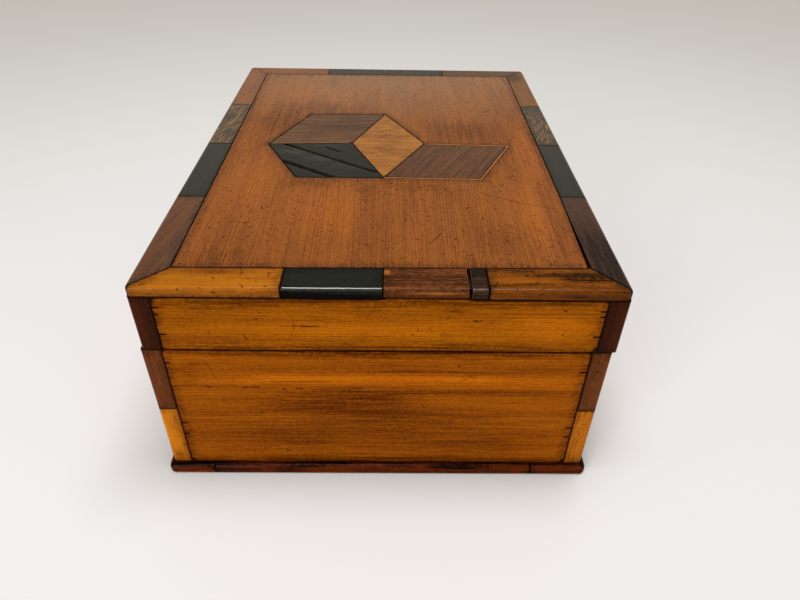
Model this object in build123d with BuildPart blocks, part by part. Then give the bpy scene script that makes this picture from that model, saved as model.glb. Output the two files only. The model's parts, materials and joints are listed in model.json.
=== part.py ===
from build123d import *
from math import hypot, radians, tan
import os

# A wooden puzzle box. Its lid is hinged at the back, one block of the rim slides forward, and the space
# behind that block holds the thumb stud of a hidden bolt, which hooks the lid to the base.
# X runs left to right, Y front to back, Z up. The origin is the middle of the underside.

# Driving dimensions, in millimetres
depth = 354.0
base_width = 255.7
lid_width = 256.4
rim_width = 257.0
lid_shift = 1.6  # the lid sits this far to the right of the base
wall = 11.3
base_top = 99.6
lid_bottom = 100.0
rim_bottom = 135.0
top = 141.2
plinth_height = 6.6
plinth_strip = 12.0
plinth_out = (3.0, 4.0)  # how far the plinth stands out at the sides, and at the front and back
plinth_corner = 4.5
plinth_top_round = 3.0
plinth_foot_round = 1.2
post_round = 1.8
beyond = 1.0  # how far a cut runs past the surface it opens

# Joints in the wood
tongue = 4.0
tongue_reach = 3.0
groove_play = 0.1
joint = 0.15
kerf = 0.55
kerf_depth = 3.0

# The panel of the lid has a thinner lip, which lies in a rebate under the rim
lip_bottom = 131.0
rebate = 4.0
lip_play = 0.3
inlay_depth = 2.0
string_width = 1.2

# The inner corners of the rim, measured from the middle of the lid, a little out of square
inner_front_left = (-109.8, -159.2)
inner_front_right = (111.3, -156.7)
inner_back_right = (111.4, 159.2)
inner_back_left = (-110.7, 158.0)
shrinkage = 2.0  # the panel's right edge has drawn back this far at the front
shrinkage_end = -76.0
rim_round = 2.6
rim_corner = 3.6

# Hinges: two brass butt hinges let into the back edges
hinge_y = depth / 2 - 2.0
hinge_z = (base_top + lid_bottom) / 2
hinge_places = (-72.0, 72.0)
barrel_radius = 2.5
barrel_room = 0.3
pin_radius = 1.0
pin_play = 0.05
knuckle = 6.4
knuckle_gap = 0.3
leaf_thickness = 1.5
leaf_front = depth / 2 - wall + 1.2
leaf_back = hinge_y - 0.4
knuckle_room = (0.2, 0.15)  # around and beside the other leaf's knuckles
bevel_angle = 51.0

# The key block and the tongues that guide it
key_left = lid_shift + 1.3
key_right = lid_shift + 45.0
strip_left = lid_shift + 46.3
key_lift = 0.25
key_relief = (1.4, 0.9)  # a step along the foot of the front, back and up
key_travel = 8.0
key_behind = -150.0  # well past the back of the block
guide = (137.3, 138.5)
guide_ends = (-172.0, -160.0)
guide_reach = 2.2
guide_root = 0.5  # how far the guides run into the blocks that carry them
play = 0.3
stop_pin = (lid_shift + 39.5, -173.5)
stop_pin_z = (127.0, 136.4)
stop_pin_room = 0.02
stop_slot_room = 0.4
stop_slot_top = 136.9

# The bolt behind the front board of the lid
bolt_x = (lid_shift - 28.0, lid_shift + 44.3)
bolt_y = (-165.4, -161.4)
bolt_z = (113.0, 123.0)
bolt_travel = 14.0
stud_x = (lid_shift + 9.0, lid_shift + 17.0)
stud_y = (-164.4, -161.4)
stud_top = 138.0
stud_room = (3.0, 1.2, 0.8)  # in the key block: beside, in front of and above the stud
stud_slot_room = (2.0, 1.0)  # in the panel's lip: beside and in front of the stud
bolt_nose = 1.5
keeper_places = (lid_shift - 9.0, lid_shift + 36.0)
keeper_width = 7.0
keeper_z = (106.0, 130.0)
keeper_back = -158.8
hook_x = (lid_shift + 46.0, lid_shift + 56.0)
hook_foot = 79.0
hook_shelf = 96.0
hook_tip = -164.0
hook_gap = (0.5, 0.6)  # behind and above the bolt
strap = 2.0

screw_radius = 1.1
screw_head = 2.0
screw_slot = (0.5, 0.8)
screw_room = 0.03
leaf_screw = 9.0  # the length of the screws in the hinges and the hook
leaf_screw_place = (9.0, 169.6)  # either side of the middle of a leaf, and from the middle of the box
hook_screw_heights = (83.0, 89.5)
keeper_screw = 14.0
keeper_screw_margin = 3.3

inner_y = depth / 2 - wall
hook_screws = [(sum(hook_x) / 2, -inner_y + strap, height) for height in hook_screw_heights]
keeper_heights = (keeper_z[0] + keeper_screw_margin, keeper_z[1] - keeper_screw_margin)
keeper_screws = [(place, keeper_back, height) for place in keeper_places for height in keeper_heights]

os.makedirs("parts", exist_ok=True)


def keep(piece, name):
    """Labels a finished piece and writes it."""
    piece.part.label = name
    export_step(piece.part, f"parts/{name}.step")


def block(x, y, z, mode=Mode.ADD):
    """A box between two limits on each axis."""
    middle = tuple((a + b) / 2 for a, b in (x, y, z))
    with Locations(middle):
        Box(abs(x[1] - x[0]), abs(y[1] - y[0]), abs(z[1] - z[0]), mode=mode)


def slab(points, z, mode=Mode.ADD):
    """A flat piece with the given outline in plan."""
    with BuildSketch(Plane.XY.offset(z[0])) as outline:
        with BuildLine():
            Polyline(*points, close=True)
        make_face()
    extrude(outline.sketch, amount=z[1] - z[0], mode=mode)


def bar(points, x, mode=Mode.ADD):
    """A prism along X with the given outline in Y and Z."""
    with BuildSketch(Plane.YZ.offset(x[0])) as outline:
        with BuildLine():
            Polyline(*points, close=True)
        make_face()
    extrude(outline.sketch, amount=x[1] - x[0], mode=mode)


def rod(radius, x, mode=Mode.ADD):
    """A round bar along X on the hinge axis."""
    with BuildSketch(Plane.YZ.offset(x[0])) as outline:
        with Locations((hinge_y, hinge_z)):
            Circle(radius)
    extrude(outline.sketch, amount=x[1] - x[0], mode=mode)


def screw(at, into, length, extra=0.0, mode=Mode.ADD):
    """A countersunk screw with its head at a point, driven in a direction."""
    head = screw_head - screw_radius
    low = (Align.CENTER, Align.CENTER, Align.MIN)
    with Locations(Plane(at, z_dir=into).location):
        Cone(screw_head + extra, screw_radius + extra, head, align=low, mode=mode)
        Cylinder(screw_radius + extra, length + extra, align=low, mode=mode)
        if mode == Mode.ADD:
            Box(2 * screw_head, *screw_slot, mode=Mode.SUBTRACT)


def screw_hole(at, into, length):
    """The hole of a screw, with its countersink."""
    screw(at, into, length, extra=screw_room, mode=Mode.SUBTRACT)


def hinge_bevel(up):
    """Bevels a back edge away from the hinge axis: up is 1 on the lid and -1 on the base."""
    reach = 4.0
    rise = up * reach * tan(radians(bevel_angle))
    corners = ((hinge_y, hinge_z), (hinge_y + reach, hinge_z), (hinge_y + reach, hinge_z + rise))
    bar(corners, (-rim_width, rim_width), mode=Mode.SUBTRACT)


def hinge_ends(place):
    half = 2.5 * knuckle + 2 * knuckle_gap
    return (place - half, place + half)


def leaf_z(up):
    face = lid_bottom if up > 0 else base_top
    return (face, face + up * leaf_thickness)


def leaf_screws(up):
    """Where the screws of the leaves go, in the lid (1) or the base (-1)."""
    aside, y = leaf_screw_place
    return [(place + side * aside, y, leaf_z(up)[0]) for place in hinge_places for side in (-1, 1)]


def hinge_room(up):
    """Lets the leaves, the barrels and the screws of the hinges into a back board."""
    for place in hinge_places:
        low, high = hinge_ends(place)
        block((low, high), (leaf_front, depth / 2 + beyond), leaf_z(up), mode=Mode.SUBTRACT)
        rod(barrel_radius + barrel_room, (low, high), mode=Mode.SUBTRACT)
    for at in leaf_screws(up):
        screw_hole(at, (0, 0, up), leaf_screw)


def panel_room():
    """The rebate that the lip of the lid's panel lies in."""
    reach_x = lid_width / 2 - wall + rebate
    reach_y = inner_y + rebate
    middle = lid_shift
    block(
        (middle - reach_x, middle + reach_x),
        (-reach_y, reach_y),
        (lip_bottom, rim_bottom + beyond),
        mode=Mode.SUBTRACT,
    )


def end_board(middle, width, z, side):
    """A front (-1) or back (1) board, with a tongue at each end."""
    half = width / 2 - wall
    centre = side * (depth / 2 - wall / 2)
    block((middle - half, middle + half), (side * inner_y, side * depth / 2), z)
    reach = half + tongue_reach
    block((middle - reach, middle + reach), (centre - tongue / 2, centre + tongue / 2), z)


def side_board(middle, width, z, side):
    """A left (-1) or right (1) board, with a tongue at each end."""
    outer = middle + side * width / 2
    inner = outer - side * wall
    centre = (outer + inner) / 2
    block((outer, inner), (-inner_y, inner_y), z)
    reach = inner_y + tongue_reach
    block((centre - tongue / 2, centre + tongue / 2), (-reach, reach), z)


def post(middle, width, z, side, end):
    """A square corner post with a groove in each inner face; side and end are -1 or 1."""
    outer_x = middle + side * width / 2
    outer_y = end * depth / 2
    inner_x = outer_x - side * wall
    edge_y = outer_y - end * wall
    half = tongue / 2 + groove_play
    deep = tongue_reach + groove_play
    block((outer_x, inner_x), (outer_y, edge_y), z)
    fillet(edges().filter_by(Axis.Z).sort_by_distance((outer_x, outer_y, z[0]))[0], post_round)
    centre_x = (outer_x + inner_x) / 2
    centre_y = (outer_y + edge_y) / 2
    block((inner_x, inner_x + side * deep), (centre_y - half, centre_y + half), z, mode=Mode.SUBTRACT)
    block((centre_x - half, centre_x + half), (edge_y, edge_y + end * deep), z, mode=Mode.SUBTRACT)


def overcuts(middle, width, heights, side):
    """Saw cuts that run past the ends of a front board; heights maps each height to its length."""
    edge = middle + side * (width / 2 - wall)
    for height, length in heights.items():
        block(
            (edge, edge - side * length),
            (-depth / 2, -depth / 2 + kerf_depth),
            (height - kerf / 2, height + kerf / 2),
            mode=Mode.SUBTRACT,
        )


def inset(points, distances):
    """The outline with each edge moved inwards by its own distance; points run anticlockwise."""
    lines = []
    for (x1, y1), (x2, y2), distance in zip(points, points[1:] + points[:1], distances):
        long = hypot(x2 - x1, y2 - y1)
        dx = (x2 - x1) / long
        dy = (y2 - y1) / long
        lines.append((x1 - dy * distance, y1 + dx * distance, dx, dy))
    corners = []
    for (x1, y1, dx1, dy1), (x2, y2, dx2, dy2) in zip(lines[-1:] + lines[:-1], lines):
        along = ((x2 - x1) * dy2 - (y2 - y1) * dx2) / (dx1 * dy2 - dy1 * dx2)
        corners.append((x1 + along * dx1, y1 + along * dy1))
    return corners


def on_lid(points):
    """Points measured from the middle of the lid, in the box's own frame."""
    return [(x + lid_shift, y) for x, y in points]


# Base: four boards between corner posts, each post in two lengths
base_z = (plinth_height, base_top)
post_joint = 54.0

with BuildPart() as base_front_board:
    end_board(0, base_width, base_z, -1)
    overcuts(0, base_width, {90.1: 2.6, 42.0: 3.0, 32.4: 2.6}, -1)
    overcuts(0, base_width, {85.3: 3.8, 39.1: 3.4, 31.3: 3.6}, 1)
    for at in hook_screws:
        screw_hole(at, (0, -1, 0), leaf_screw)
keep(base_front_board, "base_front_board")

with BuildPart() as base_back_board:
    end_board(0, base_width, base_z, 1)
    hinge_bevel(-1)
    hinge_room(-1)
keep(base_back_board, "base_back_board")

for name, side in (("left", -1), ("right", 1)):
    with BuildPart() as base_side_board:
        side_board(0, base_width, base_z, side)
    keep(base_side_board, f"base_{name}_board")

for level, z in (("lower", (plinth_height, post_joint)), ("upper", (post_joint, base_top))):
    for name, side, end in (
        ("front_left", -1, -1),
        ("front_right", 1, -1),
        ("back_left", -1, 1),
        ("back_right", 1, 1),
    ):
        with BuildPart() as base_post:
            post(0, base_width, z, side, end)
            if level == "upper" and end == 1:
                hinge_bevel(-1)
        keep(base_post, f"base_{name}_{level}_post")

# Plinth: strips round the bottom board, mitred at the corners
plinth_x = base_width / 2 + plinth_out[0]
plinth_y = depth / 2 + plinth_out[1]
floor_x = plinth_x - plinth_strip
floor_y = plinth_y - plinth_strip
plinth_z = (0.0, plinth_height)

with BuildPart() as bottom_board:
    block((-floor_x, floor_x), (-floor_y, floor_y), plinth_z)
keep(bottom_board, "bottom_board")

with BuildPart() as plinth_blank:
    with BuildSketch():
        RectangleRounded(2 * plinth_x, 2 * plinth_y, plinth_corner)
    extrude(amount=plinth_height)
    fillet(faces().sort_by(Axis.Z)[-1].edges(), plinth_top_round)
    fillet(faces().sort_by(Axis.Z)[0].edges(), plinth_foot_round)

front_left_joint = -102.0
front_right_joint = 95.3
outer_corners = {
    "front": ((-plinth_x, -plinth_y), (plinth_x, -plinth_y), (floor_x, -floor_y), (-floor_x, -floor_y)),
    "back": ((-plinth_x, plinth_y), (plinth_x, plinth_y), (floor_x, floor_y), (-floor_x, floor_y)),
    "left": ((-plinth_x, -plinth_y), (-plinth_x, plinth_y), (-floor_x, floor_y), (-floor_x, -floor_y)),
    "right": ((plinth_x, -plinth_y), (plinth_x, plinth_y), (floor_x, floor_y), (floor_x, -floor_y)),
}
plinth_lengths = {
    "plinth_front_left": ("front", -plinth_x, front_left_joint),
    "plinth_front_middle": ("front", front_left_joint + joint, front_right_joint),
    "plinth_front_right": ("front", front_right_joint + joint, plinth_x),
    "plinth_back": ("back", -plinth_x, plinth_x),
    "plinth_left": ("left", -plinth_x, plinth_x),
    "plinth_right": ("right", -plinth_x, plinth_x),
}
for name, (side, start, end) in plinth_lengths.items():
    with BuildPart() as plinth_piece:
        add(plinth_blank.part)
        slab(outer_corners[side], (0, plinth_height), mode=Mode.INTERSECT)
        block((start, end), (-plinth_y, plinth_y), (0, plinth_height), mode=Mode.INTERSECT)
    keep(plinth_piece, name)

# Lid: four boards and four posts, rebated for the panel
lid_z = (lid_bottom, rim_bottom)

with BuildPart() as lid_front_board:
    end_board(lid_shift, lid_width, lid_z, -1)
    panel_room()
    overcuts(lid_shift, lid_width, {128.4: 3.2, 123.8: 2.4, 110.6: 3.4}, -1)
    overcuts(lid_shift, lid_width, {128.2: 2.8, 124.6: 2.4, 111.0: 3.4}, 1)
    with BuildSketch(Plane.XY.offset(stop_pin_z[0])):
        with Locations(stop_pin):
            Circle(pin_radius + stop_pin_room)
    extrude(amount=rim_bottom - stop_pin_z[0], mode=Mode.SUBTRACT)
    for at in keeper_screws:
        screw_hole(at, (0, -1, 0), keeper_screw)
keep(lid_front_board, "lid_front_board")

with BuildPart() as lid_back_board:
    end_board(lid_shift, lid_width, lid_z, 1)
    panel_room()
    hinge_bevel(1)
    hinge_room(1)
keep(lid_back_board, "lid_back_board")

for name, side in (("left", -1), ("right", 1)):
    with BuildPart() as lid_side_board:
        side_board(lid_shift, lid_width, lid_z, side)
        panel_room()
    keep(lid_side_board, f"lid_{name}_board")

for name, side, end in (
    ("front_left", -1, -1),
    ("front_right", 1, -1),
    ("back_left", -1, 1),
    ("back_right", 1, 1),
):
    with BuildPart() as lid_post:
        post(lid_shift, lid_width, lid_z, side, end)
        panel_room()
        if end == 1:
            hinge_bevel(1)
    keep(lid_post, f"lid_{name}_post")

# Inlay: a hexagon of four slanted pieces in the panel, the right one with a string of light wood
left_tip = (-84.0, -0.6)
left_top = (-59.3, 58.6)
diamond_top = (-0.5, 60.2)
diamond_left = (-23.8, 2.9)
left_foot = (-57.7, -53.4)
diamond_foot = (-0.2, -53.1)
diamond_right = (28.9, 3.6)
right_tip = (90.5, 1.2)
right_foot = (64.4, -54.2)
inlay_outlines = {
    "inlay_left_rosewood": [left_tip, diamond_left, diamond_top, left_top],
    "inlay_left_ebony": [left_tip, left_foot, diamond_foot, diamond_left],
    "inlay_diamond": [diamond_left, diamond_foot, diamond_right, diamond_top],
    "inlay_right_rosewood": [diamond_foot, right_foot, right_tip, diamond_right],
}
inlay_z = (top - inlay_depth, top)

with BuildPart() as lid_panel:
    panel_outline = inset(
        [inner_front_left, inner_front_right, inner_back_right, inner_back_left],
        (joint, joint, joint, joint),
    )
    front_left, front_right, back_right, back_left = panel_outline
    drawn_back = (front_right[0] - shrinkage, front_right[1])
    meeting = (front_right[0], shrinkage_end)
    slab(on_lid([front_left, drawn_back, meeting, back_right, back_left]), (rim_bottom, top))
    lip_x = lid_width / 2 - wall + rebate - lip_play
    lip_y = inner_y + rebate - lip_play
    block((lid_shift - lip_x, lid_shift + lip_x), (-lip_y, lip_y), (lip_bottom, rim_bottom))
    for outline in inlay_outlines.values():
        slab(on_lid(outline), inlay_z, mode=Mode.SUBTRACT)
    slot_x = (stud_x[0] - stud_slot_room[0], stud_x[1] + bolt_travel + stud_slot_room[0])
    slot_y = (stud_y[0] - stud_slot_room[1], stud_y[1] + stud_slot_room[1])
    block(slot_x, slot_y, (lip_bottom, rim_bottom), mode=Mode.SUBTRACT)
keep(lid_panel, "lid_panel")

for name, outline in inlay_outlines.items():
    margin = string_width + joint / 2 if name == "inlay_right_rosewood" else joint / 2
    with BuildPart() as inlay_piece:
        slab(on_lid(inset(outline, (margin, margin, margin, joint / 2))), inlay_z)
    keep(inlay_piece, name)

with BuildPart() as inlay_string:
    right_outline = inlay_outlines["inlay_right_rosewood"]
    slab(on_lid(inset(right_outline, [joint / 2] * 4)), inlay_z)
    slab(on_lid(inset(right_outline, [string_width] * 3 + [-beyond])), inlay_z, mode=Mode.SUBTRACT)
keep(inlay_string, "inlay_string")

# Rim: one blank with rounded edges, parted into the pieces of each side
rim_x = rim_width / 2
rim_y = depth / 2
rim_z = (rim_bottom, top)
rim_sides = {
    "front": ((-rim_x, -rim_y), (rim_x, -rim_y), inner_front_left, inner_front_right),
    "back": ((-rim_x, rim_y), (rim_x, rim_y), inner_back_left, inner_back_right),
    "left": ((-rim_x, -rim_y), (-rim_x, rim_y), inner_front_left, inner_back_left),
    "right": ((rim_x, -rim_y), (rim_x, rim_y), inner_front_right, inner_back_right),
}
rim_lengths = {
    "front": {
        "rim_front_satinwood": (None, -50.5),
        "rim_front_ebony": (-50.5, 1.0),
        "key_block": (key_left - lid_shift, key_right - lid_shift),
        "rim_front_wenge": (strip_left - lid_shift, 55.0),
        "rim_front_amber": (55.0, None),
    },
    "back": {
        "rim_back_brown": (None, -54.3),
        "rim_back_ebony": (-54.3, -1.7),
        "rim_back_dark": (-1.7, 51.6),
        "rim_back_grey": (51.6, None),
    },
    "left": {
        "rim_left_rosewood": (None, -81.0),
        "rim_left_ebony": (-81.0, -0.5),
        "rim_left_palmwood": (-0.5, 78.7),
        "rim_left_mahogany": (78.7, None),
    },
    "right": {
        "rim_right_rosewood": (None, -76.5),
        "rim_right_ebony": (-76.5, 3.0),
        "rim_right_palmwood": (3.0, 82.0),
        "rim_right_satinwood": (82.0, None),
    },
}

with BuildPart() as rim_blank:
    with BuildSketch(Plane((lid_shift, 0, rim_bottom))):
        RectangleRounded(rim_width, depth, rim_corner)
    extrude(amount=top - rim_bottom)
    fillet(faces().sort_by(Axis.Z)[-1].edges(), rim_round)


def rim_outline(side, start, end):
    """The plan of a rim piece; an end that is None is the mitre."""
    outer_start, outer_end, inner_start, inner_end = rim_sides[side]
    along = 0 if side in ("front", "back") else 1
    points = []
    for place, outer, inner in ((start, outer_start, inner_start), (end, outer_end, inner_end)):
        if place is None:
            points.append((outer, inner))
            continue
        share = (place - inner_start[along]) / (inner_end[along] - inner_start[along])
        edge = inner_start[1 - along] + share * (inner_end[1 - along] - inner_start[1 - along])
        if along == 0:
            points.append(((place, outer[1]), (place, edge)))
        else:
            points.append(((outer[0], place), (edge, place)))
    return [points[0][0], points[1][0], points[1][1], points[0][1]]


def rim_piece(side, start, end):
    """Cuts a piece out of the rim's blank, a joint's width short at its straight ends."""
    add(rim_blank.part)
    start = start if start is None else start + joint / 2
    end = end if end is None else end - joint / 2
    slab(on_lid(rim_outline(side, start, end)), rim_z, mode=Mode.INTERSECT)


for side, lengths in rim_lengths.items():
    for name, (start, end) in lengths.items():
        if name == "key_block":
            continue
        with BuildPart() as rim_part:
            rim_piece(side, start, end)
            if name == "rim_front_ebony":
                root = lid_shift + lengths[name][1] - guide_root
                block((root, key_left + guide_reach - play), guide_ends, guide)
            if name == "rim_front_wenge":
                block((key_right - guide_reach + play, strip_left + guide_root), guide_ends, guide)
        keep(rim_part, name)

# Key block: it slides forward on the tongues of its neighbours, as far as the stop pin lets it
with BuildPart() as key_block:
    rim_piece("front", *rim_lengths["front"]["key_block"])
    front = -depth / 2
    whole = (key_left - beyond, key_right + beyond)
    block(whole, (front, key_behind), (rim_bottom, rim_bottom + key_lift), mode=Mode.SUBTRACT)
    relief_z = (rim_bottom, rim_bottom + key_lift + key_relief[1])
    block(whole, (front, front + key_relief[0]), relief_z, mode=Mode.SUBTRACT)
    groove_z = (guide[0] - play, guide[1] + play)
    for end, reach in ((key_left, guide_reach), (key_right, -guide_reach)):
        block((end, end + reach), (guide_ends[0] - play, key_behind), groove_z, mode=Mode.SUBTRACT)
    room_x = (stud_x[0] - stud_room[0], stud_x[1] + bolt_travel + stud_room[0])
    room_z = (rim_bottom, stud_top + stud_room[2])
    block(room_x, (stud_y[0] - stud_room[1], key_behind), room_z, mode=Mode.SUBTRACT)
    slot_ends = (stop_pin[1] - pin_radius - play, stop_pin[1] + key_travel + pin_radius + play)
    slot_half = pin_radius + stop_slot_room
    slot_sides = (stop_pin[0] - slot_half, stop_pin[0] + slot_half)
    block(slot_sides, slot_ends, (rim_bottom, stop_slot_top), mode=Mode.SUBTRACT)
keep(key_block, "key_block")

with BuildPart() as key_stop_pin:
    with BuildSketch(Plane.XY.offset(stop_pin_z[0])):
        with Locations(stop_pin):
            Circle(pin_radius)
    extrude(amount=stop_pin_z[1] - stop_pin_z[0])
keep(key_stop_pin, "key_stop_pin")

# Bolt: a bar in two keepers, with a stud that rises through the panel's lip to the key block's room
with BuildPart() as bolt:
    block(bolt_x, bolt_y, bolt_z)
    chamfer(faces().sort_by(Axis.X)[-1].edges().filter_by(Axis.Y), bolt_nose)
    block(stud_x, stud_y, (bolt_z[0], stud_top))
keep(bolt, "bolt")

with BuildPart() as bolt_keepers:
    for place in keeper_places:
        sides = (place - keeper_width / 2, place + keeper_width / 2)
        block(sides, (-inner_y, keeper_back), keeper_z)
        room_z = (bolt_z[0] - play, bolt_z[1] + play)
        block(sides, (-inner_y, bolt_y[1] + play), room_z, mode=Mode.SUBTRACT)
    for at in keeper_screws:
        screw_hole(at, (0, -1, 0), keeper_screw)
keep(bolt_keepers, "bolt_keepers")

with BuildPart() as bolt_hook:
    foot = -inner_y
    rise = bolt_y[1] + hook_gap[0]
    reach = bolt_z[1] + hook_gap[1]
    bar(
        (
            (foot, hook_foot),
            (foot + strap, hook_foot),
            (foot + strap, hook_shelf - strap),
            (rise + strap, hook_shelf - strap),
            (rise + strap, reach + strap),
            (hook_tip, reach + strap),
            (hook_tip, reach),
            (rise, reach),
            (rise, hook_shelf),
            (foot, hook_shelf),
        ),
        hook_x,
    )
    for at in hook_screws:
        screw_hole(at, (0, -1, 0), leaf_screw)
keep(bolt_hook, "bolt_hook")


# Hinges: the base leaves have three knuckles, the lid leaves have the two between them
def knuckles(place):
    """The limits in X of the five knuckles of a hinge."""
    low = hinge_ends(place)[0]
    starts = [low + turn * (knuckle + knuckle_gap / 2) for turn in range(5)]
    return [(start, start + knuckle) for start in starts]


def leaves(up, own, bore):
    """The two leaves of the lid (1) or the base (-1), with their own knuckles out of five."""
    for place in hinge_places:
        block(hinge_ends(place), (leaf_front, leaf_back), leaf_z(up))
        for turn, (low, high) in enumerate(knuckles(place)):
            if turn not in own:
                around, beside = knuckle_room
                rod(barrel_radius + around, (low - beside, high + beside), mode=Mode.SUBTRACT)
        for turn in own:
            rod(barrel_radius, knuckles(place)[turn])
        rod(bore, hinge_ends(place), mode=Mode.SUBTRACT)
    for at in leaf_screws(up):
        screw_hole(at, (0, 0, up), leaf_screw)


with BuildPart() as base_hinge_leaves:
    leaves(-1, (0, 2, 4), pin_radius)
keep(base_hinge_leaves, "base_hinge_leaves")

with BuildPart() as lid_hinge_leaves:
    leaves(1, (1, 3), pin_radius + pin_play)
keep(lid_hinge_leaves, "lid_hinge_leaves")

with BuildPart() as hinge_pins:
    for place in hinge_places:
        rod(pin_radius, (knuckles(place)[0][0], knuckles(place)[-1][1]))
keep(hinge_pins, "hinge_pins")

with BuildPart() as base_screws:
    for at in leaf_screws(-1):
        screw(at, (0, 0, -1), leaf_screw)
    for at in hook_screws:
        screw(at, (0, -1, 0), leaf_screw)
keep(base_screws, "base_screws")

with BuildPart() as lid_screws:
    for at in leaf_screws(1):
        screw(at, (0, 0, 1), leaf_screw)
    for at in keeper_screws:
        screw(at, (0, -1, 0), keeper_screw)
keep(lid_screws, "lid_screws")
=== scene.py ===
"""The looks of the wooden puzzle box: every piece of timber is cut from its CAD node, with softened and
slightly uneven edges, and gets a procedural wood of its own, with grain, pores, wear and grime."""

import json
import math
import random

import bmesh
import bpy
import numpy as np
from mathutils import Matrix, Vector, noise
from mathutils.bvhtree import BVHTree

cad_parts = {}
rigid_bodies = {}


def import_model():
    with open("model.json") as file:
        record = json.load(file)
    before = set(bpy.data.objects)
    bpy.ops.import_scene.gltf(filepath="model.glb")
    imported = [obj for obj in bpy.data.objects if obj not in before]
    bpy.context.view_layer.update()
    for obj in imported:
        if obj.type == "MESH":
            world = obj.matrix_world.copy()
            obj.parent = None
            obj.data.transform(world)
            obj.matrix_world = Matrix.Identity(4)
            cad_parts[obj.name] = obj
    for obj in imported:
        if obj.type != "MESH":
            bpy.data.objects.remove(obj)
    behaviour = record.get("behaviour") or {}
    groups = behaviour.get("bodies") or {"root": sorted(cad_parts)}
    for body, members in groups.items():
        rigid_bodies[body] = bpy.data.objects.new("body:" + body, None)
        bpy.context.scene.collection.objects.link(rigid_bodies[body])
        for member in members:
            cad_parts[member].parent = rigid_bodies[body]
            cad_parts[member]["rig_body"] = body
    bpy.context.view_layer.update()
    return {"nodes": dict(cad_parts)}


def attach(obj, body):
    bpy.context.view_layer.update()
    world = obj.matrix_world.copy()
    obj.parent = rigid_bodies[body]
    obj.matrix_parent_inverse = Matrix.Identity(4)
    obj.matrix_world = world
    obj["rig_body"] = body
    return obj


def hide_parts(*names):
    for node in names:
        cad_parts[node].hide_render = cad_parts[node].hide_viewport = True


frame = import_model()
MM = 0.001
LID_X = 1.6  # the middle of the lid, in millimetres from the middle of the base
TOP = 141.2  # the height of the lid's top face
FRONT = -177.0  # where the front face of the walls and the rim lies
AXES = {"X": 0, "Y": 1, "Z": 2}


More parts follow.
